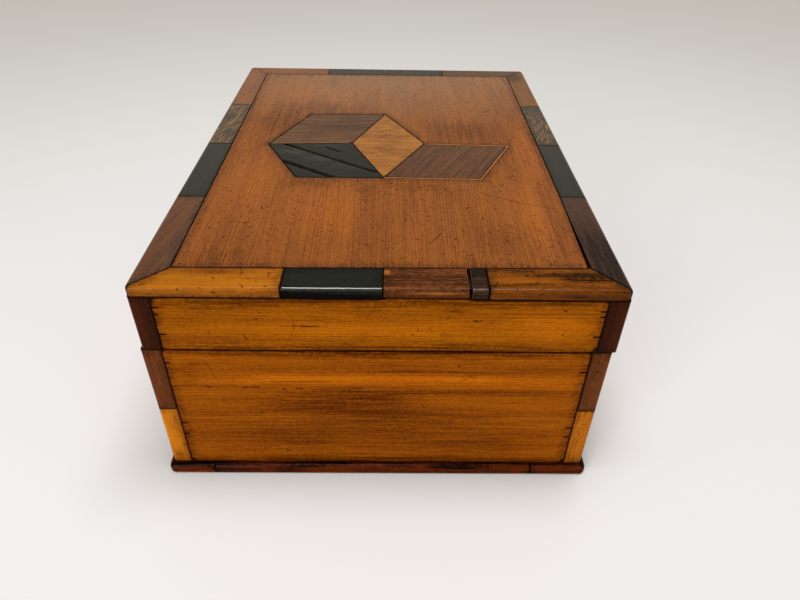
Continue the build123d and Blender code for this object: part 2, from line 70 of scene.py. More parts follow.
# Shaders
class Shader:
    """A material under construction: each method adds nodes and returns an output."""

    def __init__(self, name):
        self.material = bpy.data.materials.new(name)
        self.material.use_nodes = True
        self.tree = self.material.node_tree
        self.tree.nodes.clear()

    def add(self, kind, inputs=None, **settings):
        node = self.tree.nodes.new(kind)
        for key, value in settings.items():
            setattr(node, key, value)
        for key, value in (inputs or {}).items():
            socket = node.inputs[key]
            if isinstance(value, bpy.types.NodeSocket):
                self.tree.links.new(value, socket)
            else:
                socket.default_value = value
        return node

    def math(self, operation, a, b=0.0, c=0.0):
        return self.add("ShaderNodeMath", {0: a, 1: b, 2: c}, operation=operation).outputs[0]

    def vector(self, operation, a, b=(0.0, 0.0, 0.0)):
        return self.add("ShaderNodeVectorMath", {0: a, 1: b}, operation=operation).outputs[0]

    def length(self, a):
        return self.add("ShaderNodeVectorMath", {0: a}, operation="LENGTH").outputs["Value"]

    def largest(self, *values):
        found = values[0]
        for value in values[1:]:
            found = self.math("MAXIMUM", found, value)
        return found

    def mix(self, share, a, b, blend="MIX"):
        inputs = {0: share, 6: a, 7: b}
        return self.add("ShaderNodeMix", inputs, data_type="RGBA", blend_type=blend).outputs[2]

    def grey(self, value):
        return self.add("ShaderNodeCombineColor", {0: value, 1: value, 2: value}).outputs[0]

    def step(self, value, low, high):
        """0 below low and 1 above high, smooth between; falls instead where low is above high."""
        inputs = {"Value": value, "From Min": low, "From Max": high}
        return self.add("ShaderNodeMapRange", inputs, interpolation_type="SMOOTHSTEP").outputs["Result"]

    def noise_node(self, vector, factors, detail, roughness, distortion):
        inputs = {
            "Vector": self.vector("MULTIPLY", vector, factors),
            "Scale": 1.0,
            "Detail": detail,
            "Roughness": roughness,
            "Distortion": distortion,
        }
        return self.add("ShaderNodeTexNoise", inputs)

    def noise(self, vector, factors, detail=2.0, roughness=0.5, distortion=0.0):
        return self.noise_node(vector, factors, detail, roughness, distortion).outputs["Fac"]

    def shaken(self, vector, factors, amounts):
        """The same space, every point moved by up to about half of the amounts."""
        colour = self.noise_node(vector, factors, 2.0, 0.5, 0.0).outputs["Color"]
        centred = self.vector("SUBTRACT", colour, (0.5, 0.5, 0.5))
        return self.vector("ADD", vector, self.vector("MULTIPLY", centred, amounts))

    def cells(self, sheet, factors, share, low, high):
        """Small spots at random points of a sheet: 1 inside, in the given share of the cells."""
        inputs = {"Vector": self.vector("MULTIPLY", sheet, (*factors, 1.0)), "Scale": 1.0}
        node = self.add("ShaderNodeTexVoronoi", inputs, voronoi_dimensions="2D")
        chance = self.add("ShaderNodeSeparateColor", {0: node.outputs["Color"]}).outputs
        there = self.math("LESS_THAN", chance[0], share)
        size = self.math("MULTIPLY_ADD", chance[1], 0.7, 0.3)
        reach = self.math("DIVIDE", node.outputs["Distance"], size)
        return self.math("MULTIPLY", self.step(reach, high, low), there)

    def turned(self, vector, degrees):
        """The same space turned about its third axis."""
        turn = (0.0, 0.0, math.radians(degrees))
        return self.add("ShaderNodeMapping", {"Vector": vector, "Rotation": turn}).outputs[0]

    def millimetres(self):
        place = self.add("ShaderNodeTexCoord").outputs["Object"]
        return self.vector("MULTIPLY", place, (1 / MM, 1 / MM, 1 / MM))

    def wood_space(self, place, along, across, turn=0.0, shift=(0.0, 0.0, 0.0)):
        """Millimetres as (across, along, deep) the grain, turned by some degrees and moved somewhere."""
        split = self.add("ShaderNodeSeparateXYZ", {0: place}).outputs
        deep = ({"X", "Y", "Z"} - {along, across}).pop()
        inputs = {0: split[AXES[across]], 1: split[AXES[along]], 2: split[AXES[deep]]}
        ordered = self.add("ShaderNodeCombineXYZ", inputs).outputs[0]
        rotation = (0.0, 0.0, math.radians(turn))
        inputs = {"Vector": ordered, "Location": shift, "Rotation": rotation}
        return self.add("ShaderNodeMapping", inputs).outputs[0]

    def blot(self, place, centre, radii):
        """1 in the middle of an ellipsoid, fading to 0 at its surface; in millimetres."""
        off = self.vector("DIVIDE", self.vector("SUBTRACT", place, centre), radii)
        return self.step(self.length(off), 1.0, 0.15)

    def stroke(self, place, start, end, width):
        """1 along a scratch from start to end; in millimetres."""
        line = Vector(end) - Vector(start)
        direction = tuple(line.normalized())
        off = self.vector("SUBTRACT", place, start)
        inputs = {0: off, 1: direction}
        run = self.add("ShaderNodeVectorMath", inputs, operation="DOT_PRODUCT").outputs["Value"]
        run = self.math("MINIMUM", self.math("MAXIMUM", run, 0.0), line.length)
        foot = self.add("ShaderNodeVectorMath", {0: direction, "Scale": run}, operation="SCALE").outputs[0]
        return self.step(self.length(self.vector("SUBTRACT", off, foot)), width, width * 0.3)

    def attribute(self, name):
        return self.add("ShaderNodeAttribute", attribute_name=name).outputs["Fac"]

    def finish(self, shader):
        self.add("ShaderNodeOutputMaterial", {"Surface": shader})
        return self.material


# What each timber looks like: linear colours of its light and dark wood and its streaks, the spacing of its
# rings in millimetres, and how strong rings, bands, fibres, streaks, pores and mottling are
WOODS = {
    "pine": dict(
        light=(0.235, 0.068, 0.0050), dark=(0.105, 0.023, 0.0020), streak=(0.055, 0.013, 0.0020), ring=1.7,
        rings=0.80, bands=0.20, fibres=0.70, streaks=0.05, pores=0.35, mottle=0.35,
    ),
    "golden_pine": dict(
        light=(0.400, 0.115, 0.0012), dark=(0.160, 0.033, 0.0006), streak=(0.062, 0.011, 0.0006), ring=1.3,
        rings=0.80, bands=0.35, fibres=0.65, streaks=0.20, pores=0.15, mottle=0.20,
    ),
    "satinwood": dict(
        light=(0.330, 0.100, 0.0030), dark=(0.190, 0.044, 0.0015), streak=(0.080, 0.018, 0.0015), ring=2.6,
        rings=0.25, bands=0.30, fibres=0.35, streaks=0.3, pores=0.05, mottle=0.60,
    ),
    "figured_satinwood": dict(
        light=(0.365, 0.135, 0.0120), dark=(0.215, 0.065, 0.0060), streak=(0.100, 0.028, 0.0040), ring=5.0,
        rings=0.10, bands=0.10, fibres=0.14, streaks=0.10, pores=0.10, mottle=1.00,
    ),
    "amber": dict(
        light=(0.250, 0.070, 0.0030), dark=(0.095, 0.022, 0.0015), streak=(0.018, 0.006, 0.0020), ring=2.2,
        rings=0.35, bands=0.40, fibres=0.55, streaks=0.5, pores=0.2, mottle=0.50,
    ),
    "rosewood": dict(
        light=(0.115, 0.034, 0.0085), dark=(0.040, 0.011, 0.0040), streak=(0.010, 0.004, 0.0025), ring=3.0,
        rings=0.40, bands=0.35, fibres=0.65, streaks=0.75, pores=0.7, mottle=0.30,
    ),
    "worn_rosewood": dict(
        light=(0.180, 0.055, 0.0160), dark=(0.034, 0.009, 0.0030), streak=(0.010, 0.004, 0.0020), ring=1.6,
        rings=0.60, bands=0.45, fibres=1.30, streaks=0.7, pores=1.0, mottle=0.35,
    ),
    "dark_rosewood": dict(
        light=(0.050, 0.013, 0.0045), dark=(0.020, 0.006, 0.0030), streak=(0.007, 0.003, 0.0020), ring=3.0,
        rings=0.40, bands=0.40, fibres=0.65, streaks=0.8, pores=0.6, mottle=0.40,
    ),
    "mahogany": dict(
        light=(0.180, 0.054, 0.0130), dark=(0.085, 0.023, 0.0060), streak=(0.040, 0.011, 0.0040), ring=3.4,
        rings=0.30, bands=0.30, fibres=0.55, streaks=0.5, pores=0.7, mottle=0.40,
    ),
    "stained_mahogany": dict(
        light=(0.170, 0.026, 0.0006), dark=(0.045, 0.006, 0.0004), streak=(0.003, 0.001, 0.0008), ring=3.6,
        rings=0.30, bands=0.40, fibres=0.60, streaks=0.9, pores=0.6, mottle=0.90,
    ),
    "ebony": dict(
        light=(0.0085, 0.0095, 0.0080), dark=(0.003, 0.0035, 0.003), streak=(0.001, 0.001, 0.001), ring=4.0,
        rings=0.20, bands=0.30, fibres=0.50, streaks=0.3, pores=0.2, mottle=0.20,
    ),
    "palmwood": dict(
        light=(0.030, 0.018, 0.0090), dark=(0.012, 0.009, 0.0060), streak=(0.006, 0.005, 0.0040), ring=2.4,
        rings=0.30, bands=0.30, fibres=0.60, streaks=0.4, pores=0.5, mottle=0.30,
        flecks=(0.200, 0.080, 0.024),
    ),
    "wenge": dict(
        light=(0.062, 0.026, 0.0100), dark=(0.004, 0.003, 0.0025), streak=(0.003, 0.002, 0.0020), ring=1.1,
        rings=1.00, bands=0.70, fibres=0.90, streaks=0.3, pores=0.5, mottle=0.20,
    ),
    "boxwood": dict(
        light=(0.480, 0.310, 0.1400), dark=(0.360, 0.210, 0.0850), streak=(0.280, 0.150, 0.0550), ring=1.6,
        rings=0.40, bands=0.30, fibres=0.40, streaks=0.15, pores=0.05, mottle=0.30,
    ),
}
# the colour of soil in joints, dents, splits and saw cuts, also used for the painted shade in the seam
# between lid and base
GRIME_AND_GAP_SHADE = (0.0045, 0.0022, 0.0012, 1.0)
# the pale grey of the painted sheen, a reflection painted into the colour
PAINTED_SHEEN = (0.36, 0.36, 0.28, 1.0)
PALE_LINE = (0.42, 0.17, 0.03, 1.0)
RUBBED = (0.42, 0.130, 0.024, 1.0)
RAW_WOOD = (0.42, 0.215, 0.080, 1.0)
RAW_RING = (0.24, 0.100, 0.028, 1.0)
RAW_GRAIN = (0.21, 0.095, 0.030, 1.0)
RAW_BAND = (0.20, 0.090, 0.030, 1.0)
DUST = (0.070, 0.036, 0.016, 1.0)
BRASS = (0.62, 0.42, 0.16, 1.0)
BROWNED_BRASS = (0.26, 0.15, 0.06, 1.0)
BRIGHT_BRASS = (0.78, 0.58, 0.27, 1.0)
VARNISH_IOR = 1.5


def rgba(colour, tint=(1.0, 1.0, 1.0)):
    return (colour[0] * tint[0], colour[1] * tint[1], colour[2] * tint[2], 1.0)


def worn_marks(s, place, amount):
    """Dents, specks, dashes and scratches of long use, as a mask."""
    split = s.add("ShaderNodeSeparateXYZ", {0: s.shaken(place, (0.9, 0.9, 0.9), (0.9, 0.9, 0.9))}).outputs
    inputs = {0: s.math("ADD", split[0], split[2]), 1: split[1]}
    sheet = s.add("ShaderNodeCombineXYZ", inputs).outputs[0]
    crowd = s.step(s.noise(place, (0.022, 0.022, 0.022), 2.0), 0.35, 0.65)
    here = s.math("MULTIPLY_ADD", crowd, 0.5, 0.5)
    dent = s.cells(sheet, (0.105, 0.085), 0.50 * amount, 0.045, 0.095)
    speck = s.cells(s.turned(sheet, 20.0), (0.24, 0.20), 0.36 * amount, 0.06, 0.12)
    dash = s.cells(sheet, (0.34, 0.075), 0.13 * amount, 0.05, 0.13)
    slant = s.cells(s.turned(sheet, 33.0), (0.36, 0.040), 0.17 * amount, 0.07, 0.13)
    cross = s.cells(s.turned(sheet, -58.0), (0.36, 0.034), 0.15 * amount, 0.07, 0.13)
    nick = s.cells(s.turned(sheet, 82.0), (0.28, 0.060), 0.15 * amount, 0.07, 0.13)
    return s.math("MULTIPLY", s.largest(dent, speck, dash, slant, cross, nick), here)


def timber(
    name, wood, along, across, gloss=0.26, specular=0.35, grime=1.0, marks=1.0, raw=False, bend=5.0, turn=0.0,
    tint=(1.0, 1.0, 1.0), stains=(), golden_patches_and_painted_light=(), rubs=(), blooms=(), strokes=(), lines=(), wear=0.5,
    polish=0.0, ragged=(44.0, 6.0),
):
    """A wood under old varnish. Grain runs along one axis, its rings are spaced along another. The edges of
    the darkened and lighter places are ragged by so many millimetres along and across the grain."""
    look = WOODS[wood]
    light, dark, streak_colour = (rgba(look[part], tint) for part in ("light", "dark", "streak"))
    draw = random.Random(name)
    shift = tuple(draw.uniform(-900.0, 900.0) for _ in range(3))
    s = Shader(name)
    millimetres = s.millimetres()
    place = s.wood_space(millimetres, along, across, turn, shift)
    split = s.add("ShaderNodeSeparateXYZ", {0: place}).outputs
    sideways = s.math("MULTIPLY_ADD", split[2], 0.45, split[0])

    # rings: a dark line that ends sharply, each with its own strength and broken into dashes
    sway = s.math("MULTIPLY_ADD", s.noise(place, (0.012, 0.0035, 0.012), 2.0), bend * 2.0, sideways)
    sway = s.math("MULTIPLY_ADD", s.noise(place, (0.09, 0.004, 0.09), 1.0), look["ring"] * 2.2, sway)
    turns = s.math("DIVIDE", sway, look["ring"])
    part = s.math("FRACT", turns)
    number = s.math("FLOOR", turns)
    strength = s.add("ShaderNodeTexWhiteNoise", {"W": number}, noise_dimensions="1D").outputs["Value"]
    late = s.math("MULTIPLY", s.step(part, 0.45, 0.85), s.step(part, 1.0, 0.94))
    late = s.math("MULTIPLY", late, s.math("MULTIPLY_ADD", strength, 0.75, 0.25))
    broken = s.step(s.noise(place, (0.7, 0.15, 0.7), 2.0), 0.38, 0.60)
    late = s.math("MULTIPLY", late, s.math("MULTIPLY_ADD", broken, 0.65, 0.35))

    # the tone between light and dark wood: rings, wide bands, slow clouds, fibres and a beaded figure
    band = s.step(s.noise(place, (0.10, 0.0022, 0.10), 3.0, 0.6), 0.36, 0.66)
    cloud = s.step(s.noise(place, (0.036, 0.011, 0.036), 4.0, 0.6, 0.8), 0.44, 0.70)
    coarse = s.step(s.noise(place, (0.85, 0.022, 0.85), 3.0, 0.65), 0.30, 0.70)
    fine = s.step(s.noise(place, (2.6, 0.06, 2.6), 3.0, 0.6), 0.30, 0.70)
    bead = s.step(s.noise(place, (0.75, 0.42, 0.75), 2.0), 0.32, 0.68)
    grain = s.math("MULTIPLY_ADD", coarse, 0.4, s.math("MULTIPLY", fine, 0.3))
    grain = s.math("MULTIPLY_ADD", bead, 0.3, grain)
    tone = s.math("MULTIPLY", late, look["rings"])
    tone = s.math("MULTIPLY_ADD", band, look["bands"], tone)
    tone = s.math("MULTIPLY_ADD", cloud, look["mottle"] * 0.7, tone)
    tone = s.math("MULTIPLY_ADD", s.math("SUBTRACT", grain, 0.45), look["fibres"] * 1.3, tone)
    tone = s.math("MINIMUM", s.math("MAXIMUM", tone, -0.25), 1.15)
    colour = s.mix(s.math("MAXIMUM", tone, 0.0), light, dark)
    lift = s.math("MULTIPLY_ADD", s.math("MINIMUM", tone, 0.0), -0.8, 1.0)
    colour = s.mix(1.0, colour, s.grey(lift), "MULTIPLY")
    streak = s.step(s.noise(place, (0.28, 0.007, 0.28), 5.0, 0.66, 0.5), 0.54, 0.70)
    colour = s.mix(s.math("MULTIPLY", streak, look["streaks"] * 0.9), colour, streak_colour)
    if "flecks" in look:
        patch = s.step(s.noise(place, (0.05, 0.03, 0.05), 2.0), 0.35, 0.60)
        fleck = s.step(s.noise(s.turned(place, 14.0), (1.0, 0.11, 1.0), 2.0, 0.6), 0.47, 0.58)
        fleck = s.math("MULTIPLY", fleck, s.math("MULTIPLY_ADD", patch, 0.7, 0.3))
        colour = s.mix(fleck, colour, rgba(look["flecks"], tint))

    # darker and lighter places that this very piece has: mostly stained, golden and rubbed wood; a few
    # lighter ones are painted light on the rim's front faces, and a few darker ones painted shade
    pace = tuple(0.022 if axis == along else 0.11 for axis in AXES)
    reach = tuple(ragged[0] if axis == along else ragged[1] for axis in AXES)
    shaken = s.shaken(millimetres, pace, reach)
    patchy = s.math("MULTIPLY_ADD", coarse, 0.8, s.math("MULTIPLY_ADD", bead, 0.3, 0.15))
    for centre, radii, share in golden_patches_and_painted_light:
        brightening = s.math("MULTIPLY", s.blot(shaken, centre, radii), share)
        brightening = s.math("MULTIPLY", brightening, s.math("MULTIPLY_ADD", coarse, 0.5, 0.7))
        colour = s.mix(brightening, colour, s.mix(1.0, colour, s.grey(1.75), "MULTIPLY"))
    matt = 0.0
    for centre, radii, share in stains:
        stain = s.math("MULTIPLY", s.blot(shaken, centre, radii), share)
        stain = s.math("MINIMUM", s.math("MULTIPLY", stain, patchy), 1.0)
        colour = s.mix(stain, colour, streak_colour)
        matt = s.math("MAXIMUM", matt, stain)
    for centre, radii, share in rubs:
        rub = s.math("MULTIPLY", s.blot(millimetres, centre, radii), share)
        rub = s.math("MULTIPLY", rub, s.step(coarse, 0.25, 0.75))
        colour = s.mix(s.math("MINIMUM", rub, 0.9), colour, RUBBED)
    for start, end, width, line_colour in lines:
        colour = s.mix(s.stroke(millimetres, start, end, width), colour, line_colour)
    # painted sheen: a pale grey wash that stands in for the varnish reflecting the bright room
    for centre, radii, share in blooms:
        bloom = s.math("MULTIPLY", s.blot(millimetres, centre, radii), share)
        colour = s.mix(bloom, colour, PAINTED_SHEEN)

    # open pores, marks of use, and dark joint lines: soiling in the joints, and painted shade in the narrow
    # gap along the seam between lid and base
    pore = s.step(s.noise(place, (3.4, 0.22, 3.4), 1.0), 0.60, 0.70)
    pore = s.math("MULTIPLY", pore, look["pores"])
    mark = worn_marks(s, place, marks)
    in_plane = tuple(2.2 if axis in (along, across) else 0.0 for axis in AXES)
    wavering = s.shaken(millimetres, (0.12, 0.12, 0.12), in_plane)
    for start, end, width in strokes:
        mark = s.largest(mark, s.math("MULTIPLY", s.stroke(wavering, start, end, width), 0.9))
    joint = s.attribute("joint_mm")
    uneven = s.noise(place, (0.22, 0.10, 0.22), 3.0, 0.6)
    line = s.step(s.math("MULTIPLY_ADD", uneven, -0.9, joint), 0.55, -0.10)
    line = s.math("MULTIPLY", line, 0.92 * grime)
    soft = s.step(s.math("MULTIPLY_ADD", uneven, -9.0, joint), 2.5, -4.0)
    soft = s.math("MULTIPLY", s.math("MULTIPLY", soft, patchy), 0.75 * grime)
    free = s.attribute("arris_mm")
    rubbed = s.step(s.noise(place, (0.3, 0.07, 0.3), 3.0), 0.42, 0.6)
    rubbed = s.math("MULTIPLY", s.step(free, 0.9, 0.1), rubbed)
    bright = s.mix(1.0, light, s.grey(1.5), "MULTIPLY")
    colour = s.mix(s.math("MULTIPLY", rubbed, wear), colour, bright)
    colour = s.mix(s.math("MULTIPLY", pore, 0.6), colour, streak_colour)
    colour = s.mix(soft, colour, streak_colour)
    dirt_and_seam_shade = s.math("MINIMUM", s.largest(line, s.math("MULTIPLY", mark, 0.85)), 0.95)
    colour = s.mix(dirt_and_seam_shade, colour, GRIME_AND_GAP_SHADE)

    # the varnish: uneven gloss, polished by hands on the rounded edges, duller in the soiled joints and in
    # the painted seam shade
    rounded = s.step(s.attribute("rounded"), 0.10, 0.75)
    handled = s.math("MULTIPLY", s.math("MULTIPLY", rounded, polish), s.step(joint, 0.4, 1.1))
    roughness = s.math("MULTIPLY_ADD", s.noise(place, (0.03, 0.03, 0.03), 4.0, 0.65), 0.24, gloss - 0.10)
    roughness = s.math("MULTIPLY_ADD", dirt_and_seam_shade, 0.22, roughness)
    roughness = s.math("MULTIPLY_ADD", handled, -0.5 * gloss, roughness)
    shine = s.math("MULTIPLY_ADD", handled, 0.9 - specular, specular)
    shine = s.math("MULTIPLY", shine, s.math("MULTIPLY_ADD", matt, -0.6, 1.0))
    shine = s.math("MULTIPLY", shine, s.math("MULTIPLY_ADD", dirt_and_seam_shade, -0.85, 1.0))
    if raw:
        inside = s.attribute("inside")
        bare = s.mix(s.math("MULTIPLY", late, 0.85), RAW_WOOD, RAW_RING)
        bare = s.mix(s.math("MULTIPLY", grain, 0.55), bare, RAW_GRAIN)
        bare = s.mix(s.math("MULTIPLY", band, 0.30), bare, RAW_BAND)
        bare = s.mix(s.math("MULTIPLY", s.largest(soft, s.math("MULTIPLY", pore, 2.0)), 0.5), bare, DUST)
        colour = s.mix(inside, colour, s.mix(s.math("MULTIPLY", line, 0.8), bare, GRIME_AND_GAP_SHADE))
        roughness = s.math("MULTIPLY_ADD", inside, 0.4, roughness)

    # relief in millimetres: latewood stands up, fibres and pores are open, the varnish is a little wavy
    relief = s.math("MULTIPLY_ADD", late, 0.010 * look["rings"], s.math("MULTIPLY", grain, 0.020))
    relief = s.math("MULTIPLY_ADD", s.noise(place, (0.16, 0.06, 0.16), 2.0), 0.10, relief)
    relief = s.math("MULTIPLY_ADD", s.math("MAXIMUM", mark, s.math("MULTIPLY", pore, 0.3)), -0.045, relief)
    bump = s.add("ShaderNodeBump", {"Strength": 0.8, "Distance": MM, "Height": relief}).outputs[0]
    inputs = {
        "Base Color": colour,
        "Roughness": roughness,
        "Normal": bump,
        "IOR": VARNISH_IOR,
        "Specular IOR Level": shine,
    }
    return s.finish(s.add("ShaderNodeBsdfPrincipled", inputs).outputs[0])


def brass():
    """Aged brass, browned in patches, with fine polishing lines."""
    s = Shader("aged_brass")
    place = s.wood_space(s.millimetres(), "X", "Y")
    patch = s.step(s.noise(place, (0.35, 0.2, 0.35), 4.0, 0.6), 0.42, 0.7)
    colour = s.mix(patch, BRASS, BROWNED_BRASS)
    edge = s.step(s.attribute("arris_mm"), 0.9, 0.0)
    colour = s.mix(s.math("MULTIPLY", edge, 0.5), colour, BRIGHT_BRASS)
    roughness = s.math("MULTIPLY_ADD", patch, 0.25, 0.28)
    relief = s.noise(place, (6.0, 0.25, 6.0), 2.0)
    bump = s.add("ShaderNodeBump", {"Strength": 0.4, "Distance": 0.02 * MM, "Height": relief}).outputs[0]
    inputs = {"Base Color": colour, "Roughness": roughness, "Normal": bump, "Metallic": 1.0}
    return s.finish(s.add("ShaderNodeBsdfPrincipled", inputs).outputs[0])


# Shapes
def solid_arrays(node):
    mesh = frame["nodes"][node].data
    return [v.co.copy() for v in mesh.vertices], [tuple(p.vertices) for p in mesh.polygons]


SOLIDS = {node: solid_arrays(node) for node in frame["nodes"]}
CLOSE = 0.6  # pieces nearer than this, in millimetres, meet in a joint
FAR = 14.0  # distances aren't measured past this, in millimetres
SEAM_Z = 99.8  # the height at which the lid meets the base
OUTER_Y = 176.4  # past these, a point is on the outside of the walls
OUTER_X = 126.5
SHARP = math.radians(32.0)  # a steeper edge than this is bevelled
END_MARGIN = 1.3  # the first and last slice are this far from the ends, in millimetres
ROUND_OVER = 0.293  # how much shorter the largest part of a normal is halfway round an edge


def group_of(node):
    return "base" if frame["nodes"][node]["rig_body"] == "base" else "lid"


def neighbours(node):
    """A search tree over all the other pieces that stay with this one."""
    vertices, faces = [], []
    for other, (places, polygons) in SOLIDS.items():
        if other == node or group_of(other) != group_of(node):
            continue
        start = len(vertices)
        vertices += places
        faces += [tuple(start + i for i in polygon) for polygon in polygons]
    return BVHTree.FromPolygons(vertices, faces)


def clean_copy(node):
    """The CAD node's shape with its flat faces whole."""
    bm = bmesh.new()
    bm.from_mesh(frame["nodes"][node].data)
    bmesh.ops.remove_doubles(bm, verts=bm.verts, dist=1e-6)
    bmesh.ops.dissolve_limit(bm, angle_limit=math.radians(0.6), verts=bm.verts, edges=bm.edges)
    return bm


def sharp_edges(bm):
    return [e for e in bm.edges if len(e.link_faces) == 2 and e.calc_face_angle(0.0) > SHARP]


def cut(bm, place, direction):
    """Adds an edge to every face that a plane crosses."""
    geometry = bm.verts[:] + bm.edges[:] + bm.faces[:]
    bmesh.ops.bisect_plane(bm, geom=geometry, dist=1e-8, plane_co=place, plane_no=direction)


def slice_up(bm, steps):
    """Cuts a mesh across X, Y and Z every so many millimetres and near its ends; 0 makes no cuts."""
    for axis, step in enumerate(steps):
        if not step:
            continue
        places = [v.co[axis] for v in bm.verts]
        low, high = min(places) + END_MARGIN * MM, max(places) - END_MARGIN * MM
        count = max(1, round((high - low) / (step * MM)))
        for turn in range(count + 1):
            point, normal = Vector(), Vector()
            point[axis] = low + (high - low) * turn / count
            normal[axis] = 1.0
            cut(bm, point, normal)


def unevenness(bm, amount, shift):
    """Takes a little off every surface, more in some places, as planing and wear do."""
    bm.normal_update()
    moves = []
    for v in bm.verts:
        place = v.co / MM + shift
        slow = noise.noise(place * 0.035) * 0.5 + 0.5
        quick = noise.noise(place * 0.33) * 0.5 + 0.5
        moves.append(v.normal * (-amount * MM * (0.55 * slow + 0.45 * quick)))
    for v, move in zip(bm.verts, moves):
        v.co += move


def line_distances(places, segments):
    """How far each place is from the nearest of the segments, in millimetres, up to a limit."""
    best = np.full(len(places), FAR)
    for a, b in segments:
        line = b - a
        share = np.clip((places - a) @ line / (line @ line), 0.0, 1.0)
        gap = np.linalg.norm(places - a - np.outer(share, line), axis=1)
        best = np.minimum(best, gap / MM)
    return best


def attribute(mesh, name, values):
    mesh.attributes.new(name, "FLOAT", "POINT").data.foreach_set("value", values)


def seam_distance(p):
    """How far a point on the outside of the walls is from the line where the lid meets the base; treated as a
    joint, it gets a painted shade line in the narrow gap there.
    """
    outside = abs(p.y) > OUTER_Y or abs(p.x - LID_X / 2) > OUTER_X
    return abs(p.z - SEAM_Z) if outside else FAR


def describe(mesh, tree, arrises, inside, sunk):
    """Gives each vertex what its material asks for: how near the joints and the open edges are."""
    joints = []
    for v in mesh.vertices:
        gap = tree.find_nearest(v.co, FAR * MM)[3]
        near = FAR if gap is None else gap / MM
        place = v.co / MM
        # the seam is darkened like a joint: painted shade in the gap between lid and base
        near = min(near, seam_distance(place))
        joints.append(0.0 if sunk and sunk(place) else near)
    attribute(mesh, "joint_mm", joints)
    places = np.array([v.co for v in mesh.vertices])
    attribute(mesh, "arris_mm", line_distances(places, arrises))
    straight = [max(abs(part) for part in normal.vector) for normal in mesh.vertex_normals]
    attribute(mesh, "rounded", [(1.0 - part) / ROUND_OVER for part in straight])
    if inside:
        attribute(mesh, "inside", [inside(v.co / MM) for v in mesh.vertices])


def shape(node, bevel, steps, amount, inside=None, change=None, sunk=None):
    """A piece cut from a CAD node. inside gives 1 where a point faces the inside of the box; sunk tells
    whether a point lies deep in a split."""
    draw = random.Random(node)
    tree = neighbours(node)
    bm = clean_copy(node)
    sharp = sharp_edges(bm)
    arrises = []
    for e in sharp:
        a, b = (v.co.copy() for v in e.verts)
        if tree.find_nearest((a + b) / 2, CLOSE * MM)[0] is None:
            arrises.append((np.array(a), np.array(b)))
    geometry = list({v for e in sharp for v in e.verts}) + sharp
    bmesh.ops.bevel(
        bm, geom=geometry, offset=bevel * MM, offset_type="OFFSET", segments=2, profile=0.5,
        affect="EDGES", clamp_overlap=True,
    )
    slice_up(bm, steps)
    unevenness(bm, amount, Vector([draw.uniform(-500, 500) for _ in range(3)]))
    if change:
        change(bm)
    mesh = bpy.data.meshes.new(node)
    bm.to_mesh(mesh)
    bm.free()
    describe(mesh, tree, arrises, inside, sunk)
    mesh.shade_smooth()
    frame["nodes"][node].name = node + "_cad"
    piece = bpy.data.objects.new(node, mesh)
    bpy.context.scene.collection.objects.link(piece)
    normals = piece.modifiers.new("normals", "WEIGHTED_NORMAL")
    normals.weight = 60
    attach(piece, frame["nodes"][node]["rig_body"])
    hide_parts(node)
    return piece


def dress(piece, material):
    piece.data.materials.clear()
    piece.data.materials.append(material)


def make(node, wood, along, across, bevel, steps, amount=0.06, inside=None, change=None, sunk=None, **look):
    piece = shape(node, bevel, steps, amount, inside, change, sunk)
    dress(piece, timber(node, wood, along, across, raw=inside is not None, **look))


# Boards: the inside faces are bare wood
INSIDE_Y = 166.2  # nearer the middle than these, in Y and in X, a face is on the inside of the box
INSIDE_X = 118.0
INSIDE_MIDDLE = 1.0
PANEL_UNDER = 134.0  # below this height the panel is bare
KERF_Y = (-176.8, -173.5)  # where the faces inside the saw cuts lie
KERF_X = 111.0
BASE_EDGE = 116.55  # from the middle of the wall to the end of its front board
LID_EDGE = 116.9


def is_inside(p):
    within = abs(p.y) < INSIDE_Y and abs(p.x - INSIDE_MIDDLE) < INSIDE_X
    return 1.0 if within else 0.0


def saw_cuts(middle, edge, left, right):
    """Black lines where a saw ran on past the ends of a front board; each height has its length."""
    cuts = [(middle - edge, middle - edge + length, z) for z, length in left.items()]
    cuts += [(middle + edge - length, middle + edge, z) for z, length in right.items()]
    return [((start, FRONT, z), (end, FRONT, z), 1.0, GRIME_AND_GAP_SHADE) for start, end, z in cuts]


